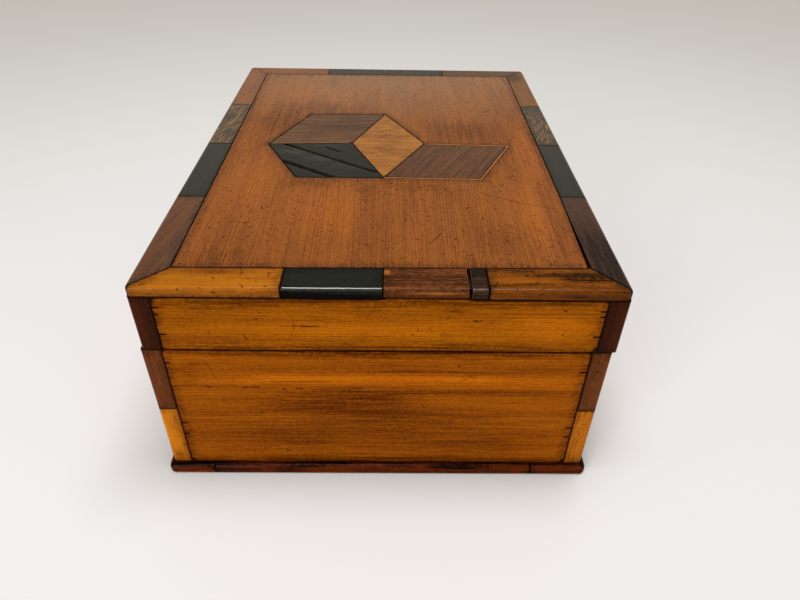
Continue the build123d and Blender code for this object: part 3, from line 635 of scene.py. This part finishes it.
# What can be seen on the front boards: places as (centre, radii, strength), scratches as (start, end, width)
BASE_FRONT = dict(
    tint=(0.93, 0.84, 0.8),
    lines=saw_cuts(0.0, BASE_EDGE, {90.1: 2.6, 42.0: 3.0, 32.4: 2.6}, {85.3: 3.8, 39.1: 3.4, 31.3: 3.6}),
    golden_patches_and_painted_light=[
        ((-20.0, FRONT, 78.5), (110.0, 30.0, 8.0), 0.75),
        ((75.0, FRONT, 78.0), (60.0, 30.0, 9.0), 0.60),
    ],
    stains=[
        # painted shadow, partly dirt: the dark band just under the lid along the top of the board
        ((-10.0, FRONT, 98.0), (140.0, 30.0, 5.5), 0.80),
        ((-14.0, FRONT, 60.0), (60.0, 30.0, 14.0), 0.85),
        ((18.0, FRONT, 44.0), (70.0, 30.0, 16.0), 0.55),
        ((-60.0, FRONT, 30.0), (50.0, 30.0, 18.0), 0.35),
        ((-108.0, FRONT, 82.0), (10.0, 30.0, 18.0), 0.35),
        ((60.0, FRONT, 22.0), (60.0, 30.0, 14.0), 0.45),
        ((0.0, FRONT, 8.0), (140.0, 30.0, 9.0), 0.70),
        ((-5.0, FRONT, 36.0), (150.0, 30.0, 42.0), 0.35),
        ((25.0, FRONT, 84.5), (60.0, 30.0, 1.6), 0.75),
        ((-40.0, FRONT, 76.5), (26.0, 30.0, 1.3), 0.70),
        ((20.0, FRONT, 68.5), (110.0, 30.0, 3.2), 0.65),
    ],
    strokes=[
        ((-95.1, FRONT, 93.0), (-89.5, FRONT, 76.5), 0.22),
        ((-96.4, FRONT, 72.3), (-95.0, FRONT, 72.1), 1.00),
        ((-76.5, FRONT, 71.5), (-73.5, FRONT, 71.4), 0.75),
        ((-71.0, FRONT, 71.8), (-66.8, FRONT, 71.9), 0.85),
        ((-54.0, FRONT, 70.9), (-52.6, FRONT, 70.9), 0.75),
        ((-46.2, FRONT, 71.3), (-42.8, FRONT, 71.3), 0.70),
        ((-15.0, FRONT, 71.1), (-9.0, FRONT, 71.2), 0.50),
        ((-68.6, FRONT, 51.3), (-66.9, FRONT, 51.3), 0.85),
        ((-56.5, FRONT, 17.8), (-54.0, FRONT, 17.5), 0.95),
        ((14.0, FRONT, 36.0), (16.5, FRONT, 25.0), 0.22),
    ],
)
LID_FRONT = dict(
    lines=saw_cuts(
        LID_X, LID_EDGE, {128.4: 3.2, 123.8: 2.4, 110.6: 3.4}, {128.2: 2.8, 124.6: 2.4, 111.0: 3.4}
    ),
    golden_patches_and_painted_light=[
        ((92.0, FRONT, 118.0), (30.0, 30.0, 13.0), 0.70),
        ((0.0, FRONT, 116.0), (110.0, 30.0, 9.0), 0.45),
    ],
    stains=[
        ((0.0, FRONT, 133.5), (140.0, 30.0, 5.5), 0.70),
        ((-80.0, FRONT, 131.0), (45.0, 30.0, 7.0), 0.45),
        ((0.0, FRONT, 101.5), (140.0, 30.0, 3.6), 0.60),
        ((62.0, FRONT, 104.5), (40.0, 30.0, 3.0), 0.50),
        ((-38.0, FRONT, 117.0), (15.0, 30.0, 1.2), 0.75),
    ],
    strokes=[
        ((-39.6, FRONT, 117.1), (-30.8, FRONT, 117.2), 0.45),
        ((-95.0, FRONT, 128.3), (-92.6, FRONT, 128.3), 0.60),
        ((-48.3, FRONT, 128.2), (-43.8, FRONT, 122.3), 0.16),
        ((-43.8, FRONT, 122.3), (-43.6, FRONT, 115.0), 0.22),
        ((-43.6, FRONT, 115.0), (-48.0, FRONT, 105.3), 0.16),
        ((51.0, FRONT, 121.5), (52.6, FRONT, 120.9), 1.00),
        ((96.0, FRONT, 128.4), (97.4, FRONT, 128.0), 0.70),
    ],
)
BOARD_LOOKS = {"base_front_board": BASE_FRONT, "lid_front_board": LID_FRONT}


def in_a_kerf(p):
    """Whether a point lies in one of the saw cuts at the ends of a front board."""
    return KERF_Y[0] < p.y < KERF_Y[1] and abs(p.x - LID_X / 2) > KERF_X


for level in ("base", "lid"):
    for end in ("front", "back"):
        node = f"{level}_{end}_board"
        make(
            node, "golden_pine", "X", "Z", bevel=0.25, steps=(6, 0, 3), amount=0.10, inside=is_inside,
            gloss=0.32, specular=0.02, marks=0.22, wear=0.0, sunk=in_a_kerf, **BOARD_LOOKS.get(node, {}),
        )
    for side in ("left", "right"):
        make(
            f"{level}_{side}_board", "golden_pine", "Y", "Z", bevel=0.25, steps=(0, 6, 3), amount=0.10,
            inside=is_inside, gloss=0.32, specular=0.04, marks=0.5, wear=0.0,
        )
make("bottom_board", "pine", "Y", "X", bevel=0.25, steps=(12, 12, 0), inside=lambda p: 1.0, gloss=0.4)

# Corner posts
POSTS = {
    "lower": dict(
        wood="satinwood", marks=1.6, tint=(1.85, 1.95, 1.2),
        stains=[((0.0, 0.0, 9.0), (1500.0, 1500.0, 12.0), 0.7)],
    ),
    "upper": dict(wood="mahogany", marks=0.6, tint=(1.0, 0.92, 0.70)),
}
for end in ("front", "back"):
    for side in ("left", "right"):
        corner = f"{end}_{side}"
        for part, look in POSTS.items():
            make(
                f"base_{corner}_{part}_post", along="Z", across="X", bevel=0.22, steps=(2.8, 2.8, 2),
                specular=0.04, grime=0.85, polish=0.3, **look,
            )
        make(
            f"lid_{corner}_post", "dark_rosewood", "Z", "X", bevel=0.22, steps=(2.8, 2.8, 2), grime=0.8,
            specular=0.03, marks=0.6, tint=(1.30, 1.0, 0.55), polish=0.5,
        )

# Plinth: darkened towards its top edge
for node, along in (
    ("plinth_front_left", "X"),
    ("plinth_front_middle", "X"),
    ("plinth_front_right", "X"),
    ("plinth_back", "X"),
    ("plinth_left", "Y"),
    ("plinth_right", "Y"),
):
    across = "Y" if along == "X" else "X"
    steps = (3, 0, 1.6) if along == "X" else (0, 3, 1.6)
    darker = [((0.0, 0.0, 9.4), (1500.0, 1500.0, 4.6), 2.4)]
    make(
        node, "stained_mahogany", along, across, bevel=0.25, steps=steps, amount=0.12,
        stains=darker, marks=1.6, specular=0.015, polish=0.15,
    )

# The lid's panel, with dirt round the inlay and along the front, and a golden strip near the right edge
PANEL_LOOK = dict(
    # painted reflection: a pale grey sheen over the back of the panel, where the varnish reflects the room at
    # a grazing angle
    blooms=[((0.0, 190.0, TOP), (260.0, 190.0, 60.0), 0.16)],
    golden_patches_and_painted_light=[
        ((103.0, -20.0, TOP), (12.0, 75.0, 30.0), 0.55),
        ((92.0, -95.0, TOP), (14.0, 60.0, 30.0), 0.45),
        ((-28.0, -98.0, TOP), (38.0, 42.0, 30.0), 0.35),
        ((-85.0, -60.0, TOP), (20.0, 60.0, 30.0), 0.30),
        ((-60.0, 110.0, TOP), (60.0, 30.0, 30.0), 0.20),
    ],
    stains=[
        ((-78.0, 44.0, TOP), (32.0, 38.0, 30.0), 0.70),
        ((-45.0, 72.0, TOP), (58.0, 20.0, 30.0), 0.60),
        ((58.0, 26.0, TOP), (40.0, 34.0, 30.0), 0.62),
        ((-48.0, -62.0, TOP), (26.0, 12.0, 30.0), 0.65),
        ((20.0, -64.0, TOP), (50.0, 12.0, 30.0), 0.40),
        ((-78.0, -152.0, TOP), (40.0, 10.0, 30.0), 0.40),
        ((30.0, -156.0, TOP), (90.0, 6.0, 30.0), 0.30),
        ((76.0, 20.0, TOP), (14.0, 40.0, 30.0), 0.35),
        ((0.0, 150.0, TOP), (120.0, 14.0, 30.0), 0.30),
        ((70.0, -130.0, TOP), (26.0, 30.0, 30.0), 0.35),
    ],
    strokes=[
        ((62.7, -72.0, TOP), (84.6, -85.0, TOP), 0.42),
        ((84.6, -85.0, TOP), (106.0, -92.0, TOP), 0.32),
        ((27.8, -134.2, TOP), (35.3, -122.1, TOP), 0.50),
        ((-40.4, -86.5, TOP), (-41.1, -93.1, TOP), 0.40),
        ((-88.0, -112.0, TOP), (-77.0, -112.6, TOP), 0.32),
        ((-7.6, -134.9, TOP), (-6.0, -134.9, TOP), 0.80),
        ((42.9, -129.4, TOP), (43.3, -127.6, TOP), 0.80),
        ((60.8, -106.4, TOP), (60.9, -104.2, TOP), 0.75),
        ((107.8, 159.0, TOP), (110.4, 121.0, TOP), 0.40),
        ((-74.0, -127.7, TOP), (-73.0, -127.5, TOP), 0.75),
        ((-72.0, -93.0, TOP), (-71.6, -95.0, TOP), 0.70),
        ((-96.0, -30.3, TOP), (-95.2, -30.0, TOP), 0.80),
        ((15.2, -109.0, TOP), (15.6, -106.5, TOP), 0.55),
        ((49.0, -145.0, TOP), (50.4, -144.8, TOP), 0.70),
        ((48.0, -123.0, TOP), (48.4, -117.0, TOP), 0.35),
        ((24.0, -66.7, TOP), (26.4, -66.4, TOP), 0.55),
        ((20.0, -128.6, TOP), (20.8, -128.4, TOP), 0.60),
    ],
)
make(
    "lid_panel", "pine", "Y", "X", bevel=0.2, steps=(3.5, 3.5, 0), amount=0.08, gloss=0.34, specular=0.20,
    inside=lambda p: 1.0 if p.z < PANEL_UNDER else 0.0, marks=2.4, tint=(0.90, 0.86, 0.7), **PANEL_LOOK,
)

# The inlay. Its ebony has shrunk and split along the grain.
EBONY_GRAIN = Vector((0.831, -0.556, 0.0))
EBONY_ACROSS = Vector((0.556, 0.831, 0.0))
SPLITS = [  # distance across the grain, from and to along it, half the width, depth: all in millimetres
    (-39.4, -62.5, 22.5, 0.85, 1.6),
    (-61.7, -42.5, 4.5, 1.25, 1.6),
    (-27.2, -33.5, -15.0, 0.55, 1.1),
]
LEVEL = TOP - 0.4  # only what is above this is pushed down
SUNK = (TOP - 1.9, TOP - 0.45)  # the heights between which a point is in a split
SPLIT_TAPER = 5.0  # a split runs out over this length at each end


def split_open(bm):
    for offset, start, end, half, depth in SPLITS:
        for side in (-1.6 * half, -half, 0.0, half, 1.6 * half):
            cut(bm, EBONY_ACROSS * ((offset + side) * MM), EBONY_ACROSS)
    for v in bm.verts:
        place = v.co / MM
        if place.z < LEVEL:
            continue
        run, off = place.dot(EBONY_GRAIN), place.dot(EBONY_ACROSS)
        for offset, start, end, half, depth in SPLITS:
            ends = min(run - start, end - run) / SPLIT_TAPER
            waver = 0.7 + 0.6 * noise.noise(Vector((run * 0.21, offset, 0.0)))
            here = max(0.0, min(1.0, 2.4 - 1.5 * abs(off - offset) / half))
            v.co.z -= depth * MM * max(0.0, min(1.0, ends)) * here * waver


def in_a_split(p):
    near = any(abs(p.dot(EBONY_ACROSS) - offset) < 1.05 * half for offset, _, _, half, _ in SPLITS)
    return near and SUNK[0] < p.z < SUNK[1]


make(
    "inlay_left_rosewood", "rosewood", "X", "Y", bevel=0.12, steps=(2, 2, 0), marks=0.5, turn=4.0,
    tint=(1.35, 1.40, 1.2), lines=[((-79.5, 0.7, TOP), (-24.0, 4.1, TOP), 0.9, PALE_LINE)],
    stains=[((-30.0, 40.0, TOP), (60.0, 22.0, 30.0), 0.5)],
)
make(
    "inlay_left_ebony", "ebony", "X", "Y", bevel=0.12, steps=(2, 2, 0), amount=0.08, gloss=0.24, turn=-33.8,
    change=split_open, sunk=in_a_split, marks=0.5, specular=0.20,
    # painted sheen: pale streaks for the ebony's glossy reflection between its splits
    blooms=[
        ((-62.0, -13.0, TOP), (16.0, 7.0, 30.0), 0.055),
        ((-45.0, -24.0, TOP), (18.0, 7.0, 30.0), 0.050),
        ((-26.0, -36.0, TOP), (16.0, 7.0, 30.0), 0.035),
        ((-40.0, -2.0, TOP), (18.0, 3.0, 30.0), 0.030),
    ],
)
make(
    "inlay_diamond", "figured_satinwood", "X", "Y", bevel=0.12, steps=(2, 2, 0), amount=0.05, turn=-4.0,
    specular=0.3,
    stains=[
        ((5.0, 24.0, TOP), (5.0, 20.0, 30.0), 0.75),
        ((4.0, -8.0, TOP), (8.0, 18.0, 30.0), 0.65),
        ((-10.0, -14.0, TOP), (9.0, 12.0, 30.0), 0.50),
        ((14.0, 10.0, TOP), (8.0, 10.0, 30.0), 0.40),
        ((-8.0, 22.0, TOP), (7.0, 16.0, 30.0), 0.40),
    ],
)
make(
    "inlay_right_rosewood", "rosewood", "X", "Y", bevel=0.12, steps=(2, 2, 0), turn=64.8, marks=0.5,
    tint=(1.15, 0.98, 0.55),
)
make(
    "inlay_string", "satinwood", "X", "Y", bevel=0.06, steps=(3, 3, 0), amount=0.02, grime=0.0, marks=0.2,
    tint=(1.05, 1.15, 2.4),
)

# The rim's blocks: wood, grain, bevel and what is particular to each
RIM = {
    "rim_front_satinwood": dict(
        wood="satinwood", along="X", marks=0.9, gloss=0.22, specular=0.08, tint=(0.95, 1.0, 0.6), polish=0.08,
        # painted light: lightens the rim's front face to the brightness of its top
        golden_patches_and_painted_light=[((-85.0, -180.0, 136.0), (75.0, 8.0, 8.0), 0.9)],
        stains=[
            ((-88.0, -163.0, TOP), (28.0, 5.0, 30.0), 0.55),
            ((-60.0, -168.0, TOP), (26.0, 3.5, 30.0), 0.45),
            ((-116.0, -172.0, TOP), (10.0, 6.0, 30.0), 0.45),
        ],
        strokes=[
            ((-84.2, -167.6, TOP), (-83.0, -169.0, TOP), 0.65),
            ((-70.8, -163.0, TOP), (-69.6, -162.8, TOP), 0.55),
            ((-56.6, -163.6, TOP), (-55.6, -163.8, TOP), 0.90),
            ((-56.0, -165.8, TOP), (-55.6, -165.4, TOP), 0.55),
            ((-69.6, -173.2, TOP), (-67.8, -174.4, TOP), 0.50),
            ((-119.0, -174.6, TOP), (-116.6, -174.4, TOP), 0.60),
            ((-118.4, -176.6, TOP), (-115.4, -175.8, TOP), 0.65),
            ((-100.2, FRONT + 0.6, 140.0), (-99.8, FRONT + 0.5, 139.8), 0.85),
            ((-83.0, FRONT, 138.4), (-81.8, FRONT, 138.1), 0.85),
            ((-59.6, FRONT, 135.6), (-58.4, FRONT, 135.7), 0.70),
        ],
    ),
    "rim_front_ebony": dict(
        wood="ebony", along="X", gloss=0.14, marks=0.15, specular=0.10, polish=1.0,
        # painted shade: darkens the front face of the ebony and dulls its varnish, so the face shows nearly
        # black
        stains=[((-38.0, -180.0, 134.0), (90.0, 8.0, 7.5), 4.0)],
    ),
    "rim_front_wenge": dict(wood="wenge", along="X", bevel=0.3, specular=0.05, polish=0.5, bend=2.0),
    "rim_front_amber": dict(
        wood="amber", along="X", bevel=0.3, gloss=0.2, marks=1.3, specular=0.06, polish=0.15,
        tint=(0.84, 0.82, 0.5),
        stains=[
            ((108.0, -165.0, TOP), (26.0, 7.0, 30.0), 1.6),
            ((90.0, -163.0, TOP), (24.0, 3.0, 30.0), 1.0),
            ((70.0, -160.0, TOP), (34.0, 3.0, 30.0), 0.6),
            ((84.0, -172.0, TOP), (44.0, 2.5, 30.0), 0.9),
            ((125.0, -172.0, 137.0), (10.0, 8.0, 8.0), 0.8),
        ],
        # the first lightens the front face, partly painted highlight and partly more orange wood; the second
        # is lighter wood on the top
        golden_patches_and_painted_light=[((60.0, -180.0, 136.0), (30.0, 8.0, 8.0), 1.3), ((68.0, -168.0, TOP), (24.0, 6.0, 6.0), 0.5)],
        strokes=[
            ((80.0, -159.6, TOP), (81.4, -162.6, TOP), 0.55),
            ((56.6, -171.2, TOP), (59.2, -172.8, TOP), 0.60),
            ((59.2, -172.8, TOP), (61.8, -169.6, TOP), 0.60),
            ((96.6, -164.8, TOP), (99.4, -166.2, TOP), 0.80),
            ((72.0, -159.6, TOP), (74.0, -159.4, TOP), 0.40),
        ],
    ),
    "key_block": dict(
        wood="worn_rosewood", along="X", bevel=0.5, gloss=0.36, specular=0.05, grime=0.4, marks=1.5, wear=1.0,
        tint=(0.72, 0.66, 0.52),
        rubs=[
            ((24.0, FRONT, 135.0), (44.0, 5.0, 2.0), 1.6),
            ((30.0, FRONT, 138.8), (26.0, 3.0, 1.3), 0.8),
            ((4.4, -162.0, TOP), (2.8, 2.8, 4.0), 1.4),
        ],
    ),
    "rim_back_brown": dict(wood="mahogany", along="X", grime=0.35),
    "rim_back_ebony": dict(wood="ebony", along="X", gloss=0.24),
    "rim_back_dark": dict(wood="ebony", along="X"),
    "rim_back_grey": dict(wood="dark_rosewood", along="X", tint=(1.6, 1.6, 1.6), grime=0.35),
    "rim_left_rosewood": dict(wood="rosewood", along="Y", marks=1.3, turn=12.0, tint=(0.88, 0.94, 1.0)),
    "rim_left_ebony": dict(wood="ebony", along="Y", gloss=0.22, marks=0.4),
    "rim_left_palmwood": dict(wood="palmwood", along="Y", tint=(1.15, 1.3, 1.5)),
    "rim_left_mahogany": dict(wood="mahogany", along="Y", grime=0.35),
    "rim_right_rosewood": dict(
        wood="dark_rosewood", along="Y", bevel=0.3, tint=(1.2, 1.2, 1.2),
        stains=[
            ((119.0, -150.0, TOP), (30.0, 62.0, 30.0), 1.3),
            ((118.0, -50.0, TOP), (5.0, 12.0, 30.0), 1.2),
        ],
    ),
    "rim_right_ebony": dict(wood="ebony", along="Y", gloss=0.22, marks=0.4),
    "rim_right_palmwood": dict(wood="palmwood", along="Y", tint=(0.80, 1.0, 1.2)),
    "rim_right_satinwood": dict(
        wood="amber", along="Y", marks=1.6, grime=0.5, tint=(0.66, 0.80, 1.2),
        stains=[((118.0, 158.0, TOP), (14.0, 22.0, 30.0), 0.8)],
    ),
}
FINE_X = (1.5, 2.5, 2)
FINE_Y = (2.5, 2, 2)
for node, look in RIM.items():
    along = look["along"]
    look = {"bevel": 0.25, "ragged": (16.0, 2.4), **look}
    steps, across = (FINE_X, "Y") if along == "X" else (FINE_Y, "X")
    make(node, across=across, steps=steps, amount=0.10, **look)

# The hidden bolt, its keepers and the brass
make("bolt", "boxwood", "X", "Z", bevel=0.4, steps=(4, 0, 4), amount=0.05, gloss=0.45, grime=0.2)
make("bolt_keepers", "boxwood", "Z", "X", bevel=0.4, steps=(0, 0, 4), amount=0.05, gloss=0.5)
metal = brass()
BRASSES = ["bolt_hook", "base_hinge_leaves", "lid_hinge_leaves", "hinge_pins", "base_screws", "lid_screws"]
for node in BRASSES + ["key_stop_pin"]:
    dress(shape(node, bevel=0.12, steps=(0, 0, 0), amount=0.0), metal)


# The floor, the light and the camera
def soft_light(name, place, target, size, power):
    data = bpy.data.lights.new(name, "AREA")
    data.shape = "RECTANGLE"
    data.size, data.size_y = size
    data.energy = power
    lamp = bpy.data.objects.new(name, data)
    bpy.context.scene.collection.objects.link(lamp)
    lamp.location = place
    lamp.rotation_euler = (Vector(target) - Vector(place)).to_track_quat("-Z", "Y").to_euler()


REACH = 30.0  # half the floor's side, in metres
PAPER = ((0.60, 0.605, 0.635, 1.0), (0.64, 0.645, 0.675, 1.0))
PALE_PAPER = (0.94, 0.94, 0.95, 1.0)
PALING = (700.0, 2600.0)  # from and to these distances, in millimetres, the floor turns pale
ROOM_LIGHT = (1.0, 0.90, 0.71, 1.0)
ROOM_STRENGTH = 0.50
CORNERS = [(-REACH, -REACH, 0.0), (REACH, -REACH, 0.0), (REACH, REACH, 0.0), (-REACH, REACH, 0.0)]
floor_mesh = bpy.data.meshes.new("studio_floor")
floor_mesh.from_pydata(CORNERS, [], [(0, 1, 2, 3)])
floor = bpy.data.objects.new("studio_floor", floor_mesh)
bpy.context.scene.collection.objects.link(floor)
paper = Shader("studio_paper")
paper_place = paper.millimetres()
paper_grain = paper.noise(paper_place, (0.9, 0.9, 0.9), 4.0)
paper_colour = paper.mix(paper_grain, *PAPER)
far_away = paper.step(paper.length(paper_place), *PALING)
paper_colour = paper.mix(far_away, paper_colour, PALE_PAPER)
surface = {
    "Base Color": paper_colour,
    "Roughness": paper.math("MULTIPLY_ADD", paper_grain, 0.1, 0.75),
    "Specular IOR Level": 0.2,
}
floor_mesh.materials.append(paper.finish(paper.add("ShaderNodeBsdfPrincipled", surface).outputs[0]))

world = bpy.data.worlds.new("studio")
bpy.context.scene.world = world
world.use_nodes = True
world.node_tree.nodes["Background"].inputs["Color"].default_value = ROOM_LIGHT
world.node_tree.nodes["Background"].inputs["Strength"].default_value = ROOM_STRENGTH
soft_light("overhead", (0.05, -0.12, 1.5), (0.0, -0.05, 0.1), (1.0, 0.45), 20.0)
soft_light("front_left", (-1.0, -1.5, 0.9), (0.0, 0.0, 0.05), (0.7, 0.7), 12.0)

PITCH, YAW, ROLL = (math.radians(a) for a in (37.24, 1.10, 1.17))
CAMERA_AT = Vector((6.6, -429.2, 326.5))  # in millimetres
LENS = 28.18
camera_data = bpy.data.cameras.new("camera")
camera_data.lens = LENS
camera_data.clip_start = 0.01
camera = bpy.data.objects.new("camera", camera_data)
bpy.context.scene.collection.objects.link(camera)
ahead = Vector((math.sin(YAW) * math.cos(PITCH), math.cos(YAW) * math.cos(PITCH), -math.sin(PITCH)))
level_line = Vector((math.cos(YAW), -math.sin(YAW), 0.0))
upright = level_line.cross(ahead)
right = level_line * math.cos(ROLL) + upright * math.sin(ROLL)
upward = upright * math.cos(ROLL) - level_line * math.sin(ROLL)
turn = Matrix((right, upward, -ahead)).transposed()
camera.matrix_world = Matrix.Translation(CAMERA_AT * MM) @ turn.to_4x4()
bpy.context.scene.camera = camera
bpy.context.scene.view_settings.view_transform = "Standard"
